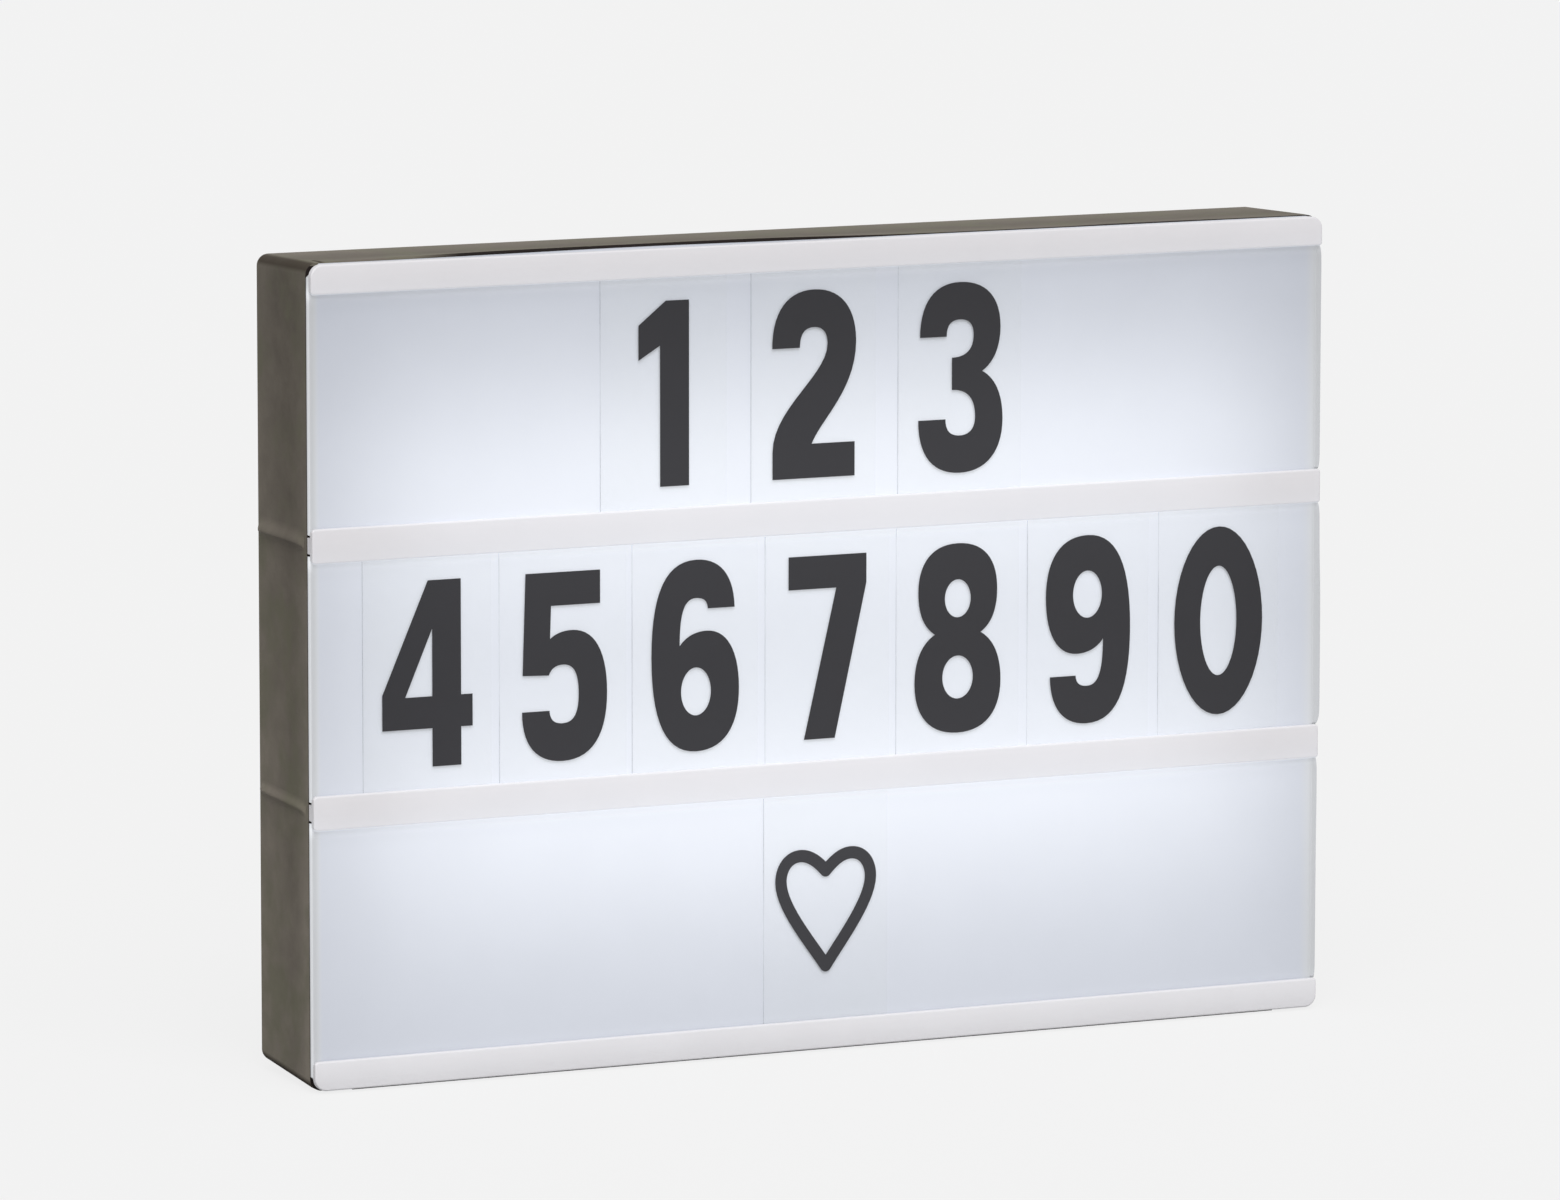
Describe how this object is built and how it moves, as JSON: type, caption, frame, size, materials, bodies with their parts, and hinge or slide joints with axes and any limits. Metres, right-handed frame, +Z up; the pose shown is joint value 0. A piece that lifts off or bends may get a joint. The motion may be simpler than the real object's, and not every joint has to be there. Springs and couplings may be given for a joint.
{
  "type": "cinema light box",
  "caption": "Back-lit letter box: drafted black tray, opal white panel and grooved white rails that hold sliding clear cards, with a battery bay and a rocker switch.",
  "frame": {"origin": "bottom centre of the bounding box, on the surface that the box stands on", "axes": "+X to the right seen from the front, +Y to the back, +Z up"},
  "size_m": [0.3, 0.0406, 0.2214],
  "materials": {
    "battery": "plain sleeve",
    "door_abs": "satin black, fine grain",
    "black_wire": "flexible insulation",
    "red_wire": "flexible insulation",
    "nickel": "nickel plate",
    "white_rail": "satin white",
    "clear_card": "clear thin sheet",
    "screw_steel": "plated",
    "opal_panel": "translucent opal white, lit from behind",
    "lamp_board": "white solder mask",
    "led": "phosphor in a white package",
    "power_board": "green solder mask",
    "black_abs": "satin black, fine grain",
    "reflector": "matt white",
    "rocker": "gloss",
    "switch_body": "satin",
    "brass": "tinned"
  },
  "bodies": {
    "box": {"battery_1": "battery", "battery_2": "battery", "battery_3": "battery", "battery_4": "battery", "battery_5": "battery", "battery_6": "battery", "battery_lead_black": "black_wire", "battery_lead_red": "red_wire", "battery_springs": "nickel", "bottom_rail": "white_rail", "case_screws": "screw_steel", "front_panel": "opal_panel", "led_board_screws": "screw_steel", "led_lead_black": "black_wire", "led_lead_red": "red_wire", "link_lead_black": "black_wire", "link_lead_red": "red_wire", "lower_contacts": "nickel", "lower_led_board": "lamp_board", "lower_leds": "led", "lower_middle_rail": "white_rail", "power_board": "power_board", "power_board_screws": "screw_steel", "rear_housing": "black_abs", "reflector_sheet": "reflector", "switch_body": "switch_body", "switch_lead": "red_wire", "switch_terminals": "brass", "top_rail": "white_rail", "upper_contacts": "nickel", "upper_led_board": "lamp_board", "upper_leds": "led", "upper_middle_rail": "white_rail", "usb_socket": "nickel"},
    "battery_door": {"battery_door": "door_abs"},
    "rocker": {"rocker": "rocker"},
    "card_1": {"card_1": "clear_card"},
    "card_2": {"card_2": "clear_card"},
    "card_3": {"card_3": "clear_card"},
    "card_4": {"card_4": "clear_card"},
    "card_5": {"card_5": "clear_card"},
    "card_6": {"card_6": "clear_card"},
    "card_7": {"card_7": "clear_card"},
    "card_8": {"card_8": "clear_card"},
    "card_9": {"card_9": "clear_card"},
    "card_10": {"card_10": "clear_card"},
    "heart_card": {"heart_card": "clear_card"}
  },
  "joints": [
    {"name": "battery_door_hinge", "type": "hinge", "parent": "box", "child": "battery_door", "pos_m": [0, 0.01905, 0.0492], "axis": [-1, 0, 0], "range_deg": [0, 95]},
    {"name": "rocker_tip", "type": "hinge", "parent": "box", "child": "rocker", "pos_m": [0.1472, 0.0103, 0.075], "axis": [0, 1, 0], "range_deg": [-22, 0]},
    {"name": "card_1_slide", "type": "slide", "parent": "box", "child": "card_1", "axis": [1, 0, 0], "range_m": [-0.0811, 0.00345]},
    {"name": "card_2_slide", "type": "slide", "parent": "box", "child": "card_2", "axis": [1, 0, 0], "range_m": [-0.00345, 0.0032]},
    {"name": "card_3_slide", "type": "slide", "parent": "box", "child": "card_3", "axis": [1, 0, 0], "range_m": [-0.0032, 0.0894]},
    {"name": "card_4_slide", "type": "slide", "parent": "box", "child": "card_4", "axis": [1, 0, 0], "range_m": [-0.0123, 0.001]},
    {"name": "card_5_slide", "type": "slide", "parent": "box", "child": "card_5", "axis": [1, 0, 0], "range_m": [-0.001, 0.0007]},
    {"name": "card_6_slide", "type": "slide", "parent": "box", "child": "card_6", "axis": [1, 0, 0], "range_m": [-0.0007, 0.00095]},
    {"name": "card_7_slide", "type": "slide", "parent": "box", "child": "card_7", "axis": [1, 0, 0], "range_m": [-0.00095, 0.0009]},
    {"name": "card_8_slide", "type": "slide", "parent": "box", "child": "card_8", "axis": [1, 0, 0], "range_m": [-0.0009, 0.00115]},
    {"name": "card_9_slide", "type": "slide", "parent": "box", "child": "card_9", "axis": [1, 0, 0], "range_m": [-0.00115, 0.0014]},
    {"name": "card_10_slide", "type": "slide", "parent": "box", "child": "card_10", "axis": [1, 0, 0], "range_m": [-0.0014, 0.0101]},
    {"name": "heart_card_slide", "type": "slide", "parent": "box", "child": "heart_card", "axis": [1, 0, 0], "range_m": [-0.1291, 0.1293]}
  ]
}
